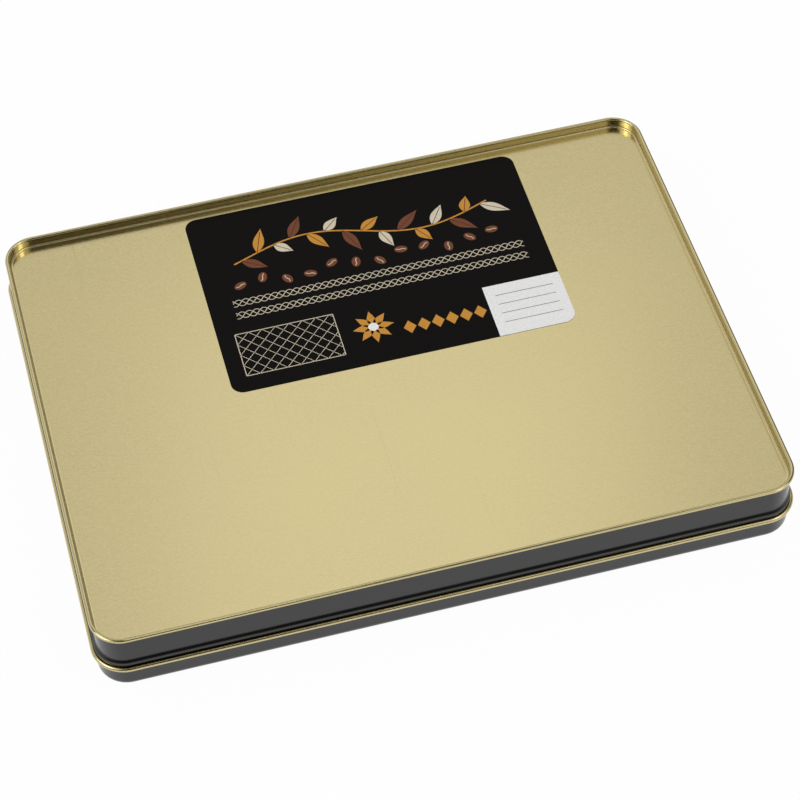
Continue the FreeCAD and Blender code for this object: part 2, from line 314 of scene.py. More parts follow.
def carried_round(outside, inside, looped=False):
    """A closed pressing whose section runs along its outside and back along its inside."""
    points = outside + inside
    edges = [(index, index + 1) for index in range(len(points) - 1)]
    if looped:
        edges.append((len(points) - 1, 0))
    line = bpy.data.meshes.new("section")
    line.from_pydata([(offset, -height, 0) for offset, height in points], edges, [])
    gold = line.attributes.new("gold", "BOOLEAN", "EDGE")
    for edge in line.edges:
        gold.data[edge.index].value = max(edge.vertices) >= len(outside)
    mesh = grown(line, RIM_SWEEP, {
        "Rim Length": rim_high.x - rim_low.x, "Rim Width": rim_high.y - rim_low.y, "Rim Corner": rim_corner,
        "Corner Steps": corner_steps, "Outside Finish": BLACK, "Inside Finish": GOLD})
    form = bmesh.new()
    form.from_mesh(mesh)
    bmesh.ops.remove_doubles(form, verts=form.verts, dist=0.001 * MM)
    open_edges = [edge for edge in form.edges if edge.is_boundary]
    for flat in bmesh.ops.holes_fill(form, edges=open_edges, sides=0)["faces"]:
        beside = [face for face in flat.edges[0].link_faces if face != flat]
        flat.material_index = beside[0].material_index
    return smoothed(form, mesh)


def bead(offset):
    """The stop bead's line up a wall face: a lower flank, an upright crest and a longer upper flank."""
    foot, crest_start, crest_stop, head = bead_heights
    points = []
    for step in range(bead_steps + 1):
        height = foot + (head - foot) * step / bead_steps
        rise = min((height - foot) / (crest_start - foot), (head - height) / (head - crest_stop), 1.0)
        eased = bead_straight * rise + (1 - bead_straight) * rise * rise * (3 - 2 * rise)
        points.append((offset + bead_reach * eased, height))
    return [(offset, foot - flat_strip)] + points + [(offset, head + flat_strip)]


BLACK = black_lacquer()
GOLD = gold_lacquer()
RIM_SWEEP = rim_sweep()
wall_outside = arc(mouth_centre, mouth_radius, mouth_stop, 360, 24)
wall_outside += bead(wall_out) + [(wall_out, flange_centre[1] - flat_strip)]
wall_outside += arc(flange_centre, flange_round - sheet, 180, 90, 5)
wall_outside += [(flange_tip, wall_high.z - sheet)]
wall_inside = [(flange_tip, wall_high.z)] + arc(flange_centre, flange_round, 90, 180, 6)
wall_inside += [(wall_in, flange_centre[1] - flat_strip)] + list(reversed(bead(wall_in)))
wall_inside += arc(mouth_centre, mouth_radius - sheet, 360, mouth_stop, 24)
piece("wall", carried_round(wall_outside, wall_inside, looped=True), "tin", "black_tinplate", "tin_wall")

weld = bmesh.new()
weld_rings = []
for offset, height in bead(wall_out) + [(wall_out, flange_centre[1])]:
    weld_ring = []
    for step in range(weld_steps + 1):
        turn = math.pi * step / weld_steps
        across = weld_place - weld_half * math.cos(turn)
        outward = rim_high.y + offset + weld_rise * math.sin(turn)
        weld_ring.append(Vector((across, outward, height)))
    weld_rings.append(weld_ring)
lofted(weld, weld_rings)
piece("weld", finished(weld, "weld", BLACK, sharp=60), "tin", "black_tinplate")

# The base
# A recessed tinplate panel, gold on both faces, with a short standing wall all round.
# Its edge is folded down over the wall's flange and clinched, which makes the bright rim.
label_low, label_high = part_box("base_label")
panel_top = label_low.z
foot_round = 0.8 * MM
hem_round = flange_round + seam_gap + sheet
shoulder_lean = 70
crest_round = 0.3 * MM
crest_centre = (-0.42 * MM, rim_high.z - 0.44 * MM)
hem_lean = 15
hem_centre = (-0.25 * MM, rim_high.z - 0.87 * MM)
standing_in = flange_centre[0] - hem_round
panel_edge = standing_in - foot_round
foot_centre = (panel_edge, panel_top + foot_round)
base_top = [(panel_edge - flat_strip, panel_top)] + arc(foot_centre, foot_round, -90, 0, 8)
base_top += [(standing_in, foot_centre[1] + flat_strip), (standing_in, flange_centre[1] - flat_strip)]
base_top += arc(flange_centre, hem_round, 180, shoulder_lean, 14)
base_top += arc(crest_centre, crest_round, shoulder_lean, hem_lean, 6)
base_top += arc(hem_centre, sheet, hem_lean, -90, 6)
base_top += [(wall_out + seam_gap, hem_centre[1] - sheet)]
base_under = [(wall_out + seam_gap, hem_centre[1]), hem_centre]
base_under += arc(crest_centre, crest_round - sheet, hem_lean, shoulder_lean, 3)
base_under += arc(flange_centre, hem_round - sheet, shoulder_lean, 180, 8)
base_under += arc(foot_centre, foot_round + sheet, 0, -90, 8)
base_under += [(panel_edge - flat_strip, panel_top - sheet)]
base_mesh = in_one_finish(carried_round(base_top, base_under), GOLD)
piece("base", base_mesh, "tin", "gold_tinplate", "base_panel")

# The sticker
# A black paper sticker on the base, printed in white, cream and browns under a satin varnish.
# Its generic print has a leafy garland, beans, a plaited line, a trellis, a rosette and a white block.
# It reaches up to 2.7 mm past its solid on the left, near and far sides, as in the photograph.
label_corner = 5.0 * MM
paper_more_left = 1.05 * MM
paper_more_near = 2.7 * MM
paper_more_far = 0.8 * MM
paper_less_right = 0.2 * MM
paper_low = label_low - Vector((paper_more_left, paper_more_near, 0))
paper_high = label_high + Vector((-paper_less_right, paper_more_far, 0))
paper_middle = (paper_low + paper_high) / 2
paper_size = paper_high - paper_low
fine_corner_steps = 12
ink_thick = 0.012 * MM
ink_step = 0.006 * MM


def outline(length, width, corner, height, middle=(0, 0), steps=6, sides=1):
    """Points round a rectangle with rounded corners, at a height, anticlockwise."""
    corner = min(corner, 0.499 * length, 0.499 * width)
    points = []
    for quarter in range(4):
        across = (length / 2 - corner) * (1 if quarter in (0, 3) else -1)
        along = (width / 2 - corner) * (1 if quarter in (0, 1) else -1)
        for step in range(steps + 1):
            angle = math.pi / 2 * (quarter + step / steps)
            points.append(Vector((
                middle[0] + across + corner * math.cos(angle),
                middle[1] + along + corner * math.sin(angle), height)))
    divided = []
    for index, point in enumerate(points):
        after = points[(index + 1) % len(points)]
        divided.append(point)
        if index % (steps + 1) == steps:
            divided += [point.lerp(after, cut / sides) for cut in range(1, sides)]
    return divided


def sticker_paper():
    """Coated black paper with a satin varnish and a trace of fibre."""
    material, tree, shader, place = finish_of("sticker_paper")
    fibre = grain(tree, place, (900, 1500, 900), 4.0)
    colour = between(tree, stretched(tree, fibre), srgb(7, 5, 4), srgb(11, 8, 7))
    surface(tree, shader, colour, stretched(tree, fibre, 0.46, 0.56))
    shader.inputs["Specular IOR Level"].default_value = 0.08
    relief(tree, shader, fibre, 0.004 * MM, 0.4)
    return material


def ink(name, *colour):
    """Offset printing ink: its colour with a slight mottle, under the same varnish."""
    material, tree, shader, place = finish_of(name)
    mottle = grain(tree, place, (1400, 1400, 1400), 3.0)
    full = srgb(*colour)
    thin = tuple(0.86 * level for level in full[:3]) + (1.0,)
    tint = between(tree, stretched(tree, mottle), thin, full)
    surface(tree, shader, tint, stretched(tree, mottle, 0.42, 0.54))
    shader.inputs["Specular IOR Level"].default_value = 0.2
    return material


def meshed(form, name):
    """Write a form to a new mesh with outward flat faces."""
    bmesh.ops.recalc_face_normals(form, faces=form.faces)
    mesh = bpy.data.meshes.new(name)
    form.to_mesh(mesh)
    form.free()
    return mesh


def printed(name, finish, shapes, layer=0):
    """Print flat shapes on the sticker, their outlines in mm from its solid's near left corner."""
    form = bmesh.new()
    low = label_high.z - 0.5 * ink_thick
    high = label_high.z + ink_thick + layer * ink_step
    for shape in shapes:
        flat = [(label_low.x + u * MM, label_low.y + v * MM) for u, v in shape]
        lofted(form, [[Vector((x, y, height)) for x, y in flat] for height in (low, high)])
    return piece(name, in_one_finish(meshed(form, name), finish), "tin", "label_paper")


def leaf(place, length, width, turn, steps=14):
    """A pointed leaf's outline from its stalk end, turned anticlockwise in degrees."""
    shares = [(step / steps, width) for step in range(steps)]
    shares += [(1 - step / steps, -width) for step in range(steps)]
    points = []
    for share, across in shares:
        points.append((length * share, across / 2 * math.sin(math.pi * share ** 0.8) ** 1.2))
    return turned(points, place, turn)


def turned(points, place, turn):
    """An outline turned in degrees and put at a place."""
    sine, cosine = math.sin(math.radians(turn)), math.cos(math.radians(turn))
    return [(place[0] + u * cosine - v * sine, place[1] + u * sine + v * cosine) for u, v in points]


def oval(place, length, width, turn=0, steps=24):
    """An ellipse's outline."""
    points = []
    for step in range(steps):
        angle = 2 * math.pi * step / steps
        points.append((length / 2 * math.cos(angle), width / 2 * math.sin(angle)))
    return turned(points, place, turn)


def stroke(line, width):
    """The outline of a stroke of even width along a line of points."""
    left, right = [], []
    for index, (u, v) in enumerate(line):
        before = line[max(index - 1, 0)]
        after = line[min(index + 1, len(line) - 1)]
        du, dv = after[0] - before[0], after[1] - before[1]
        size = math.hypot(du, dv)
        left.append((u - dv / size * width / 2, v + du / size * width / 2))
        right.append((u + dv / size * width / 2, v - du / size * width / 2))
    return left + list(reversed(right))


sticker = bmesh.new()
lofted(sticker, [
    outline(paper_size.x, paper_size.y, label_corner, height, paper_middle, fine_corner_steps)
    for height in (paper_low.z, paper_high.z)])
piece("sticker", finished(sticker, "sticker", sticker_paper()), "tin", "label_paper", "base_label")

# The print's sizes are in mm and its angles in degrees.
WHITE_INK = ink("white_ink", 252, 252, 250)
CREAM_INK = ink("cream_ink", 226, 214, 188)
BROWN_INK = ink("brown_ink", 122, 70, 44)
AMBER_INK = ink("amber_ink", 214, 150, 58)
COCOA_INK = ink("cocoa_ink", 74, 40, 28)

stem_start = (14, 66)
stem_length = 108
stem_swing = 5.5
stem_waves = 1.1
stem_lag = 0.4
stem_climb = 3
stem_width = 0.7
stem_steps = 60
leaf_count = 15
leaf_length = 11.5
leaf_length_swing = 2.5
leaf_width = 4.6
leaf_lean = 52
vein_share = 0.86
vein_width = 0.3


def stem(share):
    """The garland's stem across the sticker, as a share of its length."""
    swing = stem_swing * math.sin(2 * math.pi * share * stem_waves - stem_lag)
    return (stem_start[0] + stem_length * share, stem_start[1] + swing + stem_climb * share)


stem_line = [stem(step / stem_steps) for step in range(stem_steps + 1)]
printed("print_stem", AMBER_INK, [stroke(stem_line, stem_width)])
leaves = {
    "print_leaves_brown": (BROWN_INK, []), "print_leaves_amber": (AMBER_INK, []),
    "print_leaves_cream": (CREAM_INK, [])}
veins = []
for number in range(leaf_count):
    share = 0.03 + 0.94 * number / (leaf_count - 1)
    here, there = stem(share), stem(min(share + 0.01, 1))
    turn = math.degrees(math.atan2(there[1] - here[1], there[0] - here[0]))
    turn += leaf_lean if number % 2 else -leaf_lean
    length = leaf_length + leaf_length_swing * math.sin(number * 2.3)
    name = list(leaves)[number % len(leaves)]
    leaves[name][1].append(leaf(here, length, leaf_width, turn))
    tip = turned([(vein_share * length, 0)], here, turn)[0]
    veins.append(stroke([here, tip], vein_width))
for name, (finish, shapes) in leaves.items():
    printed(name, finish, shapes)
printed("print_veins", COCOA_INK, veins, layer=1)

bean_count = 12
bean_start = (14, 52)
bean_step = 9.6
bean_swing = 2.2
bean_turn = 25
bean_turn_step = 47
bean_length, bean_width = 5.4, 3.6
bean_slit = [(-2.0, 0.25), (-0.7, -0.2), (0.7, 0.2), (2.0, -0.25)]
slit_width = 0.35
beans = []
slits = []
for number in range(bean_count):
    place = (bean_start[0] + bean_step * number, bean_start[1] + bean_swing * math.sin(number * 1.9))
    turn = bean_turn + bean_turn_step * number
    beans.append(oval(place, bean_length, bean_width, turn))
    slits.append(stroke(turned(bean_slit, place, turn), slit_width))
printed("print_beans", BROWN_INK, beans)
printed("print_bean_slits", CREAM_INK, slits, layer=1)

plait_start = (9, 36.5)
plait_length = 121
plait_rise = 6.5
plait_swing = 1.7
plait_wave = 9
plait_rows = 2
plait_strands = 3
plait_line = 0.32
plait_steps = 220
plait = []
for row in range(plait_rows):
    for strand in range(plait_strands):
        line = []
        for step in range(plait_steps + 1):
            u = plait_start[0] + plait_length * step / plait_steps
            swing = plait_swing * math.sin(2 * math.pi * (u / plait_wave + strand / plait_strands))
            line.append((u, plait_start[1] + plait_rise * row + swing))
        plait.append(stroke(line, plait_line))
printed("print_plait", CREAM_INK, plait)

trellis_left, trellis_right = 6, 46
trellis_low, trellis_high = 5, 27
trellis_step = 5.5
frame_line = 0.35
lattice_line = 0.22
trellis = []
for v in (trellis_low, trellis_high):
    trellis.append(stroke([(trellis_left, v), (trellis_right, v)], frame_line))
for u in (trellis_left, trellis_right):
    trellis.append(stroke([(u, trellis_low), (u, trellis_high)], frame_line))
for step in range(-3, 8):
    start = trellis_left + trellis_step * step
    first = max(start, trellis_left)
    last = min(start + trellis_high - trellis_low, trellis_right)
    if last - first > 1:
        trellis.append(stroke([(u, trellis_low + u - start) for u in (first, last)], lattice_line))
        trellis.append(stroke([(u, trellis_high - u + start) for u in (first, last)], lattice_line))
printed("print_trellis", CREAM_INK, trellis)

rosette_middle = (60, 16)
petal_count = 8
petal_length, petal_width = 8.5, 3.4
eye_width = 4.2
petals = []
for number in range(petal_count):
    petals.append(leaf(rosette_middle, petal_length, petal_width, 360 / petal_count * number))
printed("print_rosette", AMBER_INK, petals)
printed("print_rosette_eye", WHITE_INK, [oval(rosette_middle, eye_width, eye_width)], layer=1)

lozenge = [(-2.6, 0), (0, -3.4), (2.6, 0), (0, 3.4)]
lozenge_count = 6
lozenge_start = (74, 12)
lozenge_step = 5.8
lozenges = []
for number in range(lozenge_count):
    lozenges.append(turned(lozenge, (lozenge_start[0] + lozenge_step * number, lozenge_start[1]), 0))
printed("print_lozenges", AMBER_INK, lozenges)

block_left, block_right = 107, 139
block_low, block_high = -paper_more_near / MM, 24
block_corner = label_corner / MM
block_margin = 4
block_line_count = 4
block_line_step = 4.8
block_line = 0.25
block = [(block_left, block_low)]
block += arc((block_right - block_corner, block_low + block_corner), block_corner, -90, 0, 10)
block += [(block_right, block_high), (block_left, block_high)]
printed("print_block", WHITE_INK, [block])
block_lines = []
for row in range(block_line_count):
    v = block_margin + block_line_step * row
    ends = [(block_left + block_margin, v), (block_right - block_margin, v)]
    block_lines.append(stroke(ends, block_line))
printed("print_block_lines", COCOA_INK, block_lines, layer=1)

# The tray
# A dark brown tray, thermoformed from thin plastic sheet, with a cup for each chocolate.
# It is upside down here as the tin is: its skirt stands towards the base, its cups open downwards.
tray_low, tray_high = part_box("insert_tray")
tray_sheet = 0.45 * MM
tray_draft = 1.0 * MM
tray_corner = rim_corner + (tray_high.x - rim_high.x)
tray_round = 1.0 * MM
cup_mouth = 30.0 * MM
cup_narrow = 0.8 * MM
cup_floor = tray_low.z + 10.7 * MM
cup_corner = 6.0 * MM
cup_floor_round = 1.6 * MM
cup_mouth_round = 0.7 * MM
cup_least_corner = 1.5 * MM
pad_rise = 0.25 * MM
pad_foot = 2.0 * MM
pad_crest = 2.6 * MM
pad_flat = 3.0 * MM
columns, rows = 6, 5
kind_shift = 2
kinds = ("caramel_square", "white_square", "dark_speckled", "milk_nibbed", "milk_nut", "dark_chipped")


def node_middle(node):
    """The middle of a solid's box, seen from above."""
    low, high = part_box(node)
    return ((low.x + high.x) / 2, (low.y + high.y) / 2)


def tray_plastic():
    """Glossy dark brown plastic sheet with faint drawing lines and flow clouds."""
    material, tree, shader, place = finish_of("tray_plastic", IOR=1.49)
    cloud = grain(tree, place, (60, 60, 60), 3.0)
    drawn = grain(tree, place, (700, 700, 60), 2.0)
    colour = between(tree, stretched(tree, cloud), srgb(38, 25, 19), srgb(48, 32, 24))
    surface(tree, shader, colour, stretched(tree, cloud, 0.2, 0.3))
    relief(tree, shader, drawn, 0.01 * MM, 0.4)
    return material


def cups_tree():
    """A tree that sets one cup at each point of the tray's grid."""
    tree, given, result = node_tree("cups_on_a_grid", [
        ("Columns", "Int"), ("Rows", "Int"), ("Grid Length", "Float"), ("Grid Width", "Float"),
        ("Plastic", "Material")])
    points = add(tree, "GeometryNodeMeshGrid", {}, {
        "Vertices X": given["Columns"], "Vertices Y": given["Rows"],
        "Size X": given["Grid Length"], "Size Y": given["Grid Width"]})
    cups = add(tree, "GeometryNodeInstanceOnPoints", {}, {
        "Points": points.outputs["Mesh"], "Instance": given["Geometry"]})
    real = add(tree, "GeometryNodeRealizeInstances", {}, {"Geometry": cups.outputs["Instances"]})
    painted = set_finish(tree, real.outputs["Geometry"], given["Plastic"])
    tree.links.new(painted, result["Geometry"])
    return tree


def cup_mesh():
    """One cup, from the flat strip round its mouth to its floor, with a raised pad on the floor."""
    section = [(cup_mouth_round + flat_strip, tray_low.z)]
    section += arc((cup_mouth_round, tray_low.z + cup_mouth_round), cup_mouth_round, -90, -180, 5)
    floor_edge = -cup_narrow - cup_floor_round
    section += arc((floor_edge, cup_floor - cup_floor_round), cup_floor_round, 0, 90, 6)
    pad_top = cup_floor - pad_rise
    section += [(floor_edge - flat_strip, cup_floor), (floor_edge - pad_foot, cup_floor)]
    section += [(floor_edge - pad_crest, pad_top), (floor_edge - pad_flat, pad_top)]
    form = bmesh.new()
    rings = []
    for grow, height in section:
        side = cup_mouth + 2 * grow
        rings.append(outline(side, side, max(cup_corner + grow, cup_least_corner), height))
    made = lofted(form, rings, capped=False)
    form.faces.new(made[-1])
    mesh = bpy.data.meshes.new("cup")
    form.to_mesh(mesh)
    form.free()
    return mesh


def tray_mesh():
    """The whole tray: cups, the face between them, the rounded edge and the skirt."""
    last_kind = kinds[(columns - 1 + kind_shift * (rows - 1)) % len(kinds)]
    first = node_middle(f"{kinds[0]}_1")
    last = node_middle(f"{last_kind}_{rows}")
    cups = grown(cup_mesh(), cups_tree(), {
        "Columns": columns, "Rows": rows, "Grid Length": last[0] - first[0],
        "Grid Width": last[1] - first[1], "Plastic": PLASTIC})
    form = bmesh.new()
    form.from_mesh(cups)
    mouths = [edge for edge in form.edges if edge.is_boundary]
    skirt = [(-tray_round - flat_strip, tray_low.z)]
    skirt += arc((-tray_round, tray_low.z + tray_round), tray_round, -90, -3, 6)
    skirt += [(-0.5 * tray_draft, (tray_low.z + tray_high.z) / 2), (-tray_draft, tray_high.z)]
    rings = []
    for offset, height in skirt:
        rings.append(outline(
            tray_high.x - tray_low.x + 2 * offset, tray_high.y - tray_low.y + 2 * offset,
            tray_corner + offset, height, steps=fine_corner_steps))
    inner = lofted(form, rings, capped=False)[0]
    edge = [form.edges.get(pair) for pair in zip(inner, inner[1:] + inner[:1])]
    bmesh.ops.triangle_fill(form, edges=mouths + edge, use_beauty=True)
    holder = set_down("holder", finished(form, "tray", PLASTIC))
    wall = holder.modifiers.new("sheet", "SOLIDIFY")
    wall.thickness = tray_sheet
    wall.offset = -1
    wall.use_even_offset = True
    return plain(holder)


PLASTIC = tray_plastic()
piece("tray", tray_mesh(), "tray", "tray_plastic", "insert_tray")

# The chocolates
# Thirty enrobed chocolates of six kinds, each a filling coated on a belt, so each has a soft crown,
# a foot where the coating ran out, and belt marks under it. They lie crown down on the card here.
crown_room = 0.6 * MM
coat_inset = 0.4 * MM
foot_height = 1.8 * MM
base_round = 0.5 * MM
crown_line = ((0.9, 0.0), (0.72, 0.02 * MM), (0.52, 0.08 * MM))
crown_edge = 1.2 * MM
crown_edge_fall = 0.17 * MM
crown_fall = 0.25 * MM
foot_line = ((0.7, 0.35), (0.2, 0.6))
base_cuts = (0.3, 0.6, 0.9)
coat_waviness = 0.5 * MM
coat_waves_per_metre = 95.0
shapes_of_kinds = {
    "caramel_square": (8.0 * MM, 3.2 * MM), "white_square": (8.0 * MM, 3.2 * MM),
    "dark_speckled": (5.0 * MM, 2.2 * MM), "milk_nibbed": (3.5 * MM, 1.8 * MM),
    "milk_nut": (5.0 * MM, 2.2 * MM), "dark_chipped": (4.0 * MM, 2.0 * MM)}


def couverture(name, deep, pale, gloss):
    """Chocolate coating: cloudy colour, a satin skin, fine ripples, and belt marks on the base."""
    material, tree, shader, place = finish_of(name, IOR=1.46)
    cloud = grain(tree, place, (140, 140, 140), 4.0)
    skin = grain(tree, place, (900, 900, 900), 3.0)
    belt = add(tree, "ShaderNodeTexWave", {"bands_direction": "Y"}, {
        "Vector": place, "Scale": 130.0, "Distortion": 0.6, "Detail": 1.0})
    under = add(tree, "ShaderNodeAttribute", {"attribute_name": "belt_side"}).outputs["Fac"]
    colour = between(tree, stretched(tree, cloud), srgb(*deep), srgb(*pale))
    surface(tree, shader, colour, stretched(tree, cloud, gloss, gloss + 0.12))
    marks = maths(tree, "MULTIPLY", belt.outputs["Fac"], under)
    fine = maths(tree, "MULTIPLY", skin, 0.25)
    relief(tree, shader, maths(tree, "ADD", marks, fine), 0.12 * MM, 0.7)
    return material


def enrobing():
    """A tree that gives a body its coat: uneven sides and crown, with the base left flat."""
    tree, given, result = node_tree("enrobed_body", [
        ("Waviness", "Float"), ("Waves per Metre", "Float"), ("Seed", "Float"), ("Coating", "Material")])
    texture = add(tree, "ShaderNodeTexNoise", {"noise_dimensions": "4D"}, {
        "W": given["Seed"], "Scale": given["Waves per Metre"], "Detail": 1.0})
    swell = maths(tree, "SUBTRACT", texture.outputs["Fac"], 0.5)
    swell = maths(tree, "MULTIPLY", swell, given["Waviness"])
    under = add(tree, "GeometryNodeInputNamedAttribute", {"data_type": "FLOAT"}, {"Name": "belt_side"})
    coated = maths(tree, "SUBTRACT", 1.0, under.outputs["Attribute"])
    swell = maths(tree, "MULTIPLY", swell, coated)
    normal = add(tree, "GeometryNodeInputNormal").outputs["Normal"]
    push = add(tree, "ShaderNodeVectorMath", {"operation": "SCALE"}, {0: normal, "Scale": swell})
    moved = add(tree, "GeometryNodeSetPosition", {}, {
        "Geometry": given["Geometry"], "Offset": push.outputs["Vector"]})
    smooth = add(tree, "GeometryNodeSetShadeSmooth", {}, {"Geometry": moved.outputs["Geometry"]})
    painted = set_finish(tree, smooth.outputs["Geometry"], given["Coating"])
    tree.links.new(painted, result["Geometry"])
    return tree


def add_trim(tree, given, result, trim, finish):
    """End a tree with its trim in a finish, joined to the body that it was given."""
    joined = add(tree, "GeometryNodeJoinGeometry")
    tree.links.new(set_finish(tree, trim, given[finish]), joined.inputs["Geometry"])
    tree.links.new(given["Geometry"], joined.inputs["Geometry"])
    tree.links.new(joined.outputs["Geometry"], result["Geometry"])


def strewing():
    """A tree that strews small angular bits on a chocolate's crown, which faces down."""
    tree, given, result = node_tree("strewn_crown", [
        ("Bits per Square Metre", "Float"), ("Least Gap", "Float"), ("Bit Radius", "Float"),
        ("Bit Flatness", "Float"), ("Seed", "Int"), ("Bits", "Material")])
    normal = add(tree, "GeometryNodeInputNormal").outputs["Normal"]
    facing = add(tree, "ShaderNodeSeparateXYZ", {}, {"Vector": normal}).outputs["Z"]
    crown = add(tree, "FunctionNodeCompare", {"operation": "LESS_THAN"}, {0: facing, 1: -0.93})
    points = add(tree, "GeometryNodeDistributePointsOnFaces", {"distribute_method": "POISSON"}, {
        "Mesh": given["Geometry"], "Selection": crown.outputs["Result"],
        "Distance Min": given["Least Gap"], "Density Max": given["Bits per Square Metre"],
        "Seed": given["Seed"]})
    bit = add(tree, "GeometryNodeMeshIcoSphere", {}, {"Radius": given["Bit Radius"], "Subdivisions": 1})
    turn = add(tree, "FunctionNodeRandomValue", {"data_type": "FLOAT_VECTOR"}, {
        0: (-0.3, -0.3, 0.0), 1: (0.3, 0.3, 6.28), "Seed": given["Seed"]})
    size = add(tree, "FunctionNodeRandomValue", {"data_type": "FLOAT_VECTOR"}, {
        0: (0.7, 0.45, 0.6), 1: (1.25, 0.8, 1.0), "Seed": given["Seed"]})
    flat = add(tree, "ShaderNodeCombineXYZ", {}, {"X": 1.0, "Y": 1.0, "Z": given["Bit Flatness"]})
    size = add(tree, "ShaderNodeVectorMath", {"operation": "MULTIPLY"}, {
        0: size.outputs[0], 1: flat.outputs[0]})
    bits = add(tree, "GeometryNodeInstanceOnPoints", {}, {
        "Points": points.outputs["Points"], "Instance": bit.outputs["Mesh"], "Rotation": turn.outputs[0],
        "Scale": size.outputs["Vector"]})
    real = add(tree, "GeometryNodeRealizeInstances", {}, {"Geometry": bits.outputs["Instances"]})
    add_trim(tree, given, result, real.outputs["Geometry"], "Bits")
    return tree


def drizzling():
    """A tree that lays thin lines of chocolate across a crown, each settled on the coat."""
    tree, given, result = node_tree("drizzled_crown", [
        ("Lines", "Int"), ("First Line", "Vector"), ("Line Step", "Vector"), ("Line Reach", "Vector"),
        ("Line Radius", "Float"), ("Wander", "Float"), ("Seed", "Float"), ("Drizzle", "Material")])
    starts = add(tree, "GeometryNodeMeshLine", {"mode": "OFFSET"}, {
        "Count": given["Lines"], "Start Location": given["First Line"], "Offset": given["Line Step"]})
    line = add(tree, "GeometryNodeCurvePrimitiveLine", {}, {"End": given["Line Reach"]})
    laid = add(tree, "GeometryNodeInstanceOnPoints", {}, {
        "Points": starts.outputs["Mesh"], "Instance": line.outputs["Curve"]})
    real = add(tree, "GeometryNodeRealizeInstances", {}, {"Geometry": laid.outputs["Instances"]})
    fine = add(tree, "GeometryNodeResampleCurve", {}, {"Curve": real.outputs["Geometry"], "Count": 26})
    shake = add(tree, "ShaderNodeTexNoise", {"noise_dimensions": "4D"}, {
        "W": given["Seed"], "Scale": 110.0, "Detail": 0.0})
    shift = maths(tree, "MULTIPLY", maths(tree, "SUBTRACT", shake.outputs["Fac"], 0.5), given["Wander"])
    aside = add(tree, "ShaderNodeCombineXYZ", {}, {"Y": shift})
    wandered = add(tree, "GeometryNodeSetPosition", {}, {
        "Geometry": fine.outputs["Curve"], "Offset": aside.outputs["Vector"]})
    hit = add(tree, "GeometryNodeRaycast", {}, {
        "Target Geometry": given["Geometry"], "Ray Direction": (0.0, 0.0, 1.0), "Ray Length": 0.05})
    missed = add(tree, "FunctionNodeBooleanMath", {"operation": "NOT"}, {0: hit.outputs["Is Hit"]})
    kept = add(tree, "GeometryNodeDeleteGeometry", {"domain": "POINT"}, {
        "Geometry": wandered.outputs["Geometry"], "Selection": missed.outputs[0]})
    settled = add(tree, "GeometryNodeSetPosition", {}, {
        "Geometry": kept.outputs["Geometry"], "Position": hit.outputs["Hit Position"]})
    round_section = add(tree, "GeometryNodeCurvePrimitiveCircle", {}, {
        "Resolution": 8, "Radius": given["Line Radius"]})
    thread = add(tree, "GeometryNodeCurveToMesh", {}, {
        "Curve": settled.outputs["Geometry"], "Profile Curve": round_section.outputs["Curve"],
        "Fill Caps": True})
    smooth = add(tree, "GeometryNodeSetShadeSmooth", {}, {"Geometry": thread.outputs["Mesh"]})
    add_trim(tree, given, result, smooth.outputs["Geometry"], "Drizzle")
    return tree


def chocolate_body(node, kind):
    """The plain body of one chocolate: outlines from its crown, over its edge, to foot and base."""
    low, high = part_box(node)
    corner, edge = shapes_of_kinds[kind]
    crown = low.z if kind == "milk_nut" else low.z + crown_room
    half = (high.y - low.y) / 2
    shoulder = crown + crown_fall
    section = [(share * half, crown + fall) for share, fall in crown_line]
    section += [(coat_inset + edge + crown_edge, crown + crown_edge_fall)]
    section += arc((coat_inset + edge, shoulder + edge), edge, -90, -180, 7)
    foot = high.z - foot_height
    section += [(coat_inset, (shoulder + edge + foot) / 2), (coat_inset, foot)]
    section += [(inset * coat_inset, foot + rise * foot_height) for inset, rise in foot_line]
    section += arc((base_round, high.z - base_round), base_round, 180, 90, 4)
    rim_of_base = len(section)
    section += [(base_round + flat_strip, high.z)]
    section += [(share * half, high.z) for share in base_cuts]
    form = bmesh.new()
    under = form.verts.layers.float.new("belt_side")
    rings = []
    for inset, height in section:
        rings.append(outline(
            high.x - low.x - 2 * inset, high.y - low.y - 2 * inset,
            max(corner - inset, 0.3 * (half - inset)), height, node_middle(node), steps=6, sides=5))
    made = lofted(form, rings)
    for ring in made[rim_of_base:]:
        for point in ring:
            point[under] = 1.0
    return meshed(form, node)


ENROBING = enrobing()
STREWING = strewing()
DRIZZLING = drizzling()
CARAMEL = couverture("caramel_coating", (176, 112, 62), (193, 130, 76), 0.3)
WHITE = couverture("white_coating", (228, 212, 178), (238, 225, 196), 0.34)
MILK = couverture("milk_coating", (98, 56, 34), (116, 70, 44), 0.3)
DARK = couverture("dark_coating", (44, 25, 18), (58, 34, 24), 0.26)
NIB = couverture("cocoa_nibs", (38, 22, 16), (62, 36, 24), 0.5)
SPECK = couverture("amber_specks", (186, 124, 52), (214, 156, 78), 0.45)
CHIP = couverture("copper_chips", (172, 84, 40), (198, 108, 56), 0.4)
coats = {
    "caramel_square": (CARAMEL, "caramel_chocolate"), "white_square": (WHITE, "white_chocolate"),
    "dark_speckled": (DARK, "dark_chocolate"), "milk_nibbed": (MILK, "milk_chocolate"),
    "milk_nut": (MILK, "milk_chocolate"), "dark_chipped": (DARK, "dark_chocolate")}
strewn = {
    "dark_speckled": (90000.0, 1.3 * MM, 0.55 * MM, 0.6, SPECK),
    "milk_nibbed": (60000.0, 2.6 * MM, 1.0 * MM, 0.4, NIB),
    "dark_chipped": (50000.0, 2.9 * MM, 1.1 * MM, 0.38, CHIP)}
drizzled = {
    "caramel_square": (6, 0.48 * MM, 1.2 * MM, MILK), "white_square": (4, 0.36 * MM, 4.5 * MM, WHITE)}
drizzle_margin = 2.2 * MM
drizzle_start = 5 * MM
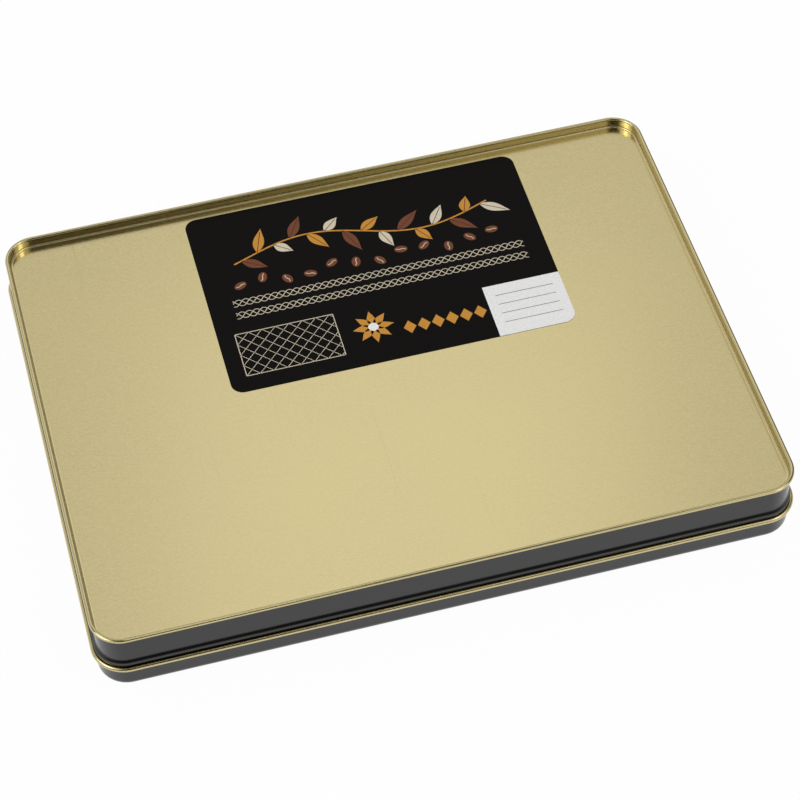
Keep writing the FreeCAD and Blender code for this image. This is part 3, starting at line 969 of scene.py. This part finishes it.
for number, kind in enumerate(kinds):
    for row in range(rows):
        node = f"{kind}_{row + 1}"
        low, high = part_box(node)
        finish, slot = coats[kind]
        mesh = grown(chocolate_body(node, kind), ENROBING, {
            "Waviness": coat_waviness, "Waves per Metre": coat_waves_per_metre,
            "Seed": 7.0 * number + row, "Coating": finish})
        if kind in strewn:
            density, gap, radius, flatness, bits = strewn[kind]
            mesh = grown(mesh, STREWING, {
                "Bits per Square Metre": density, "Least Gap": gap, "Bit Radius": radius,
                "Bit Flatness": flatness, "Seed": 10 * number + row, "Bits": bits})
        if kind in drizzled:
            lines, radius, wander, thread = drizzled[kind]
            start = (low.x + drizzle_margin, low.y + drizzle_margin + MM, low.z - drizzle_start)
            step = (high.y - low.y - 2 * drizzle_margin - 2 * MM) / (lines - 1)
            reach = high.x - low.x - 2 * drizzle_margin
            mesh = grown(mesh, DRIZZLING, {
                "Lines": lines, "First Line": start, "Line Step": (0.0, step, 0.0),
                "Line Reach": (reach, 0.0, 0.0), "Line Radius": radius, "Wander": wander,
                "Seed": 3.0 * row + number, "Drizzle": thread})
        piece(f"chocolate_{node}", mesh, "chocolates", slot, node)

# The nut pieces
# A roasted nut half set on each plain milk chocolate while its coat was soft.
# It is brown and ridged outside, and it hangs under its chocolate here.
nut_low, nut_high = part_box("nut_pieces")
nut_radius = 5.2 * MM
nut_narrow = 0.86
nut_sink = 0.35 * MM
nut_lumps = 1.7
nut_ridges = (4, 9, 4)


def roasted_nut():
    """Roasted nut: tan flesh with darker skin left in the hollows, matt and a little oily."""
    material, tree, shader, place = finish_of("roasted_nut", IOR=1.45)
    skin = grain(tree, place, (420, 420, 420), 4.0)
    colour = between(tree, spread(tree, skin, 0.4, 0.62), srgb(196, 142, 84), srgb(126, 74, 40))
    surface(tree, shader, colour, stretched(tree, skin, 0.4, 0.6))
    relief(tree, shader, skin, 0.15 * MM, 0.6)
    return material


nuts = bmesh.new()
for row in range(rows):
    middle = node_middle(f"milk_nut_{row + 1}")
    for point in bmesh.ops.create_icosphere(nuts, subdivisions=4, radius=1)["verts"]:
        toward = point.co.normalized()
        lump = noise.noise(toward * nut_lumps + Vector((9.0 * row, 0, 0)))
        ridge = noise.noise(toward * Vector(nut_ridges) + Vector((0, 0, 5.0 * row)))
        reach = nut_radius * (0.9 + 0.08 * lump + 0.03 * ridge)
        depth = nut_sink
        if toward.z <= 0:
            depth = (nut_high.z - nut_low.z) * (0.94 + 0.05 * lump + 0.02 * ridge)
        point.co = Vector((
            middle[0] + reach * toward.x, middle[1] + nut_narrow * reach * toward.y,
            nut_high.z + depth * toward.z))
piece("nuts", finished(nuts, "nuts", roasted_nut(), sharp=80), "chocolates", "nut", "nut_pieces")

# The cover card
# A cream card sheet between the chocolates and the lid, cut with rounded corners.
# Both faces are embossed with a fine diamond grid, and its cut edges are slightly crushed.
card_low, card_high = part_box("cover_card")
card_corner = rim_corner + (card_high.x - rim_high.x)
card_crush = 0.35 * MM
card_edge = (
    (card_crush + flat_strip, 0.0), (card_crush, 0.0), (0.1 * MM, 0.2 * MM), (0.0, 0.5 * MM))


def embossed_card():
    """Cream card: fibres in its colour, a diamond emboss, and a dry surface."""
    material, tree, shader, place = finish_of("embossed_card")
    fibre = grain(tree, place, (500, 1600, 900), 4.0, 0.3)
    colour = between(tree, stretched(tree, fibre), srgb(226, 216, 196), srgb(240, 232, 214))
    surface(tree, shader, colour, stretched(tree, fibre, 0.68, 0.82))
    lines = []
    for turn in (math.radians(45), math.radians(-45)):
        mapped = add(tree, "ShaderNodeMapping", {}, {"Vector": place, "Rotation": (0, 0, turn)})
        wave = add(tree, "ShaderNodeTexWave", {"bands_direction": "X"}, {
            "Vector": mapped.outputs["Vector"], "Scale": 40.0})
        lines.append(spread(tree, wave.outputs["Fac"], 0.0, 0.12, 0.0, 1.0))
    emboss = maths(tree, "MINIMUM", lines[0], lines[1])
    fuzz = maths(tree, "MULTIPLY", fibre, 0.12)
    relief(tree, shader, maths(tree, "ADD", emboss, fuzz), 0.25 * MM, 0.6)
    return material


card = bmesh.new()
card_section = [(inset, card_low.z + rise) for inset, rise in card_edge]
card_section += [(inset, card_high.z - rise) for inset, rise in reversed(card_edge)]
card_rings = []
for inset, height in card_section:
    card_rings.append(outline(
        card_high.x - card_low.x - 2 * inset, card_high.y - card_low.y - 2 * inset,
        card_corner - inset, height, steps=fine_corner_steps))
lofted(card, card_rings)
piece("card", finished(card, "card", embossed_card()), "card", "cover_card", "cover_card")

# The lid
# One drawn tinplate pressing, lacquered black outside and gold inside, lying face down.
# Its edge is curled outwards, so the gold inside shows as a bead round the tin's waist.
lid_low, lid_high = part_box("lid_shell")
lid_round = 4.0 * MM
curl_radius = 0.95 * MM
curl_stop = -115
skirt_in = lid_high.x - rim_high.x - 2 * curl_radius
skirt_out = skirt_in + sheet
face_edge = skirt_out - lid_round
curl_drop = 0.45 * MM
curl_centre = (skirt_in + curl_radius, lid_high.z - curl_drop - curl_radius)
round_centre = (face_edge, lid_low.z + lid_round)
lid_outside = [(face_edge - flat_strip, lid_low.z)]
lid_outside += arc(round_centre, lid_round, -90, 0, 12)
lid_outside += arc(curl_centre, curl_radius - sheet, 180, curl_stop, 24)
lid_inside = arc(curl_centre, curl_radius, curl_stop, 180, 30)
lid_inside += arc(round_centre, lid_round - sheet, 0, -90, 12)
lid_inside += [(face_edge - flat_strip, lid_low.z + sheet)]
piece("lid", carried_round(lid_outside, lid_inside), "lid", "black_tinplate", "lid_shell")

# The studio
# A white floor sweeps up behind and to the left, under soft boxes behind, at both sides and overhead.
# The air is dimmest behind the camera, which draws the dark lines in the metal and the lacquer,
# and low down it is seen as white, which carries on the floor past its edge.
floor_reach = 3.6
floor_hub = 0.05
floor_rings = 24
floor_steps = 96
cove_start = 2.4
cove_height = 0.6
cove_middle = math.radians(130)
floor_white = 0.97
air_strength = 0.22
dim_strength = 0.03
dim_side = (-0.145, -0.618, 0.772)
dim_start, dim_full = 0.68, 0.9
white_stop, white_full = 0.2, 0.1


def studio_floor():
    """A round floor whose far and left edges rise in a smooth cove."""
    form = bmesh.new()
    rings = []
    for ring in range(floor_rings + 1):
        radius = floor_hub + (floor_reach - floor_hub) * ring / floor_rings
        lift = max(0.0, (radius - cove_start) / (floor_reach - cove_start))
        corners = []
        for step in range(floor_steps):
            angle = 2 * math.pi * step / floor_steps
            toward = math.cos(angle - cove_middle)
            share = min(1.0, max(0.0, (toward + 0.1) / 0.5))
            height = cove_height * lift * lift * share * share * (3 - 2 * share)
            corners.append(Vector((radius * math.cos(angle), radius * math.sin(angle), height)))
        rings.append(corners)
    made = lofted(form, rings, capped=False)
    form.faces.new(made[0])
    return finished(form, "studio_floor", floor_paper())


def seen_rays(tree):
    """1 for the rays by which the camera, gloss and clear things see, and 0 for those that only light."""
    path = add(tree, "ShaderNodeLightPath").outputs
    seen = maths(tree, "MAXIMUM", path["Is Camera Ray"], path["Is Glossy Ray"])
    return maths(tree, "MAXIMUM", seen, path["Is Transmission Ray"])


def floor_paper():
    """White paper sweep: seen as white by the camera and in gloss, and still shaded by the tin."""
    material, tree, shader, place = finish_of("floor_paper", Roughness=0.9)
    paper = grain(tree, place, (220, 220, 220), 4.0)
    colour = between(tree, stretched(tree, paper), srgb(236, 236, 235), srgb(244, 244, 243))
    tree.links.new(colour, shader.inputs["Base Color"])
    shader.inputs["Specular IOR Level"].default_value = 0.1
    share = maths(tree, "MULTIPLY", seen_rays(tree), floor_white)
    white = add(tree, "ShaderNodeEmission", {}, {"Color": (1, 1, 1, 1), "Strength": 1.0})
    mixed = add(tree, "ShaderNodeMixShader", {}, {0: share, 1: shader.outputs[0], 2: white.outputs[0]})
    tree.links.new(mixed.outputs[0], tree.nodes["Material Output"].inputs["Surface"])
    return material


def direction(azimuth, elevation):
    """The direction of a place seen from the tin; azimuth is from -Y towards +X."""
    level = math.cos(elevation)
    return Vector((math.sin(azimuth) * level, -math.cos(azimuth) * level, math.sin(elevation)))


def soft_box(name, azimuth, elevation, distance, size, radiance):
    """A square soft light aimed at the tin, its angles in degrees; radiance 1 is white."""
    lamp = bpy.data.lights.new(name, "AREA")
    lamp.shape = "SQUARE"
    lamp.size = size
    lamp.energy = radiance * math.pi * size * size
    toward = direction(math.radians(azimuth), math.radians(elevation))
    aim = toward.to_track_quat("Z", "Y").to_matrix().to_4x4()
    set_down(name, lamp).matrix_world = Matrix.Translation(toward * distance) @ aim


set_down("studio_floor", studio_floor())
soft_box("back_soft_box", 169, 50, 2.0, 1.8, 0.65)
soft_box("back_soft_box_middle", 167, 55, 1.98, 0.55, 0.37)
soft_box("left_soft_box", -80, 48, 2.0, 1.5, 2.0)
soft_box("left_soft_box_middle", -80, 48, 1.98, 0.45, 4.5)
soft_box("right_soft_box", 52, 48, 2.0, 1.8, 1.0)
soft_box("right_soft_box_middle", 54, 48, 1.98, 0.45, 4.5)
soft_box("far_left_soft_box", 225, 27, 2.1, 1.7, 0.5)
soft_box("top_soft_box", 0, 88, 2.2, 0.4, 1.2)
world = bpy.data.worlds.new("studio_air")
bpy.context.scene.world = world
world.use_nodes = True
air = world.node_tree
air.nodes["Background"].inputs["Color"].default_value = (1, 1, 1, 1)
heading = add(air, "ShaderNodeTexCoord").outputs["Generated"]
facing = add(air, "ShaderNodeVectorMath", {"operation": "DOT_PRODUCT"}, {0: heading, 1: dim_side})
strength = spread(air, facing.outputs["Value"], dim_start, dim_full, air_strength, dim_strength)
height = add(air, "ShaderNodeSeparateXYZ", {}, {"Vector": heading}).outputs["Z"]
low_down = spread(air, height, white_full, white_stop, 1.0, 0.0)
white = maths(air, "MULTIPLY", seen_rays(air), low_down)
air.links.new(maths(air, "MAXIMUM", strength, white), air.nodes["Background"].inputs["Strength"])
bpy.context.scene.view_settings.view_transform = "Standard"

# The camera
# It stands where the photograph was taken from, with the same long lens and a slight roll.
# Its angles are written in degrees, and the picture is 800 pixels square.
camera_azimuth = math.radians(-13.1537)
camera_elevation = math.radians(50.5545)
camera_roll = math.radians(-2.2046)
camera_distance = 1.0534477
camera_shift = (-5.1821 * MM, -2.8459 * MM)
focal_pixels = 2637.5264
picture_pixels = 800

backward = direction(camera_azimuth, camera_elevation)
level_right = Vector((math.cos(camera_azimuth), math.sin(camera_azimuth), 0))
level_up = backward.cross(level_right)
right = math.cos(camera_roll) * level_right + math.sin(camera_roll) * level_up
upright = -math.sin(camera_roll) * level_right + math.cos(camera_roll) * level_up
standpoint = camera_distance * backward - camera_shift[0] * right - camera_shift[1] * upright
lens = bpy.data.cameras.new("photo_camera")
lens.sensor_width = 36
lens.lens = focal_pixels / picture_pixels * lens.sensor_width
camera = set_down("photo_camera", lens)
turn = Matrix((right, upright, backward)).transposed().to_4x4()
camera.matrix_world = Matrix.Translation(standpoint) @ turn
bpy.context.scene.camera = camera
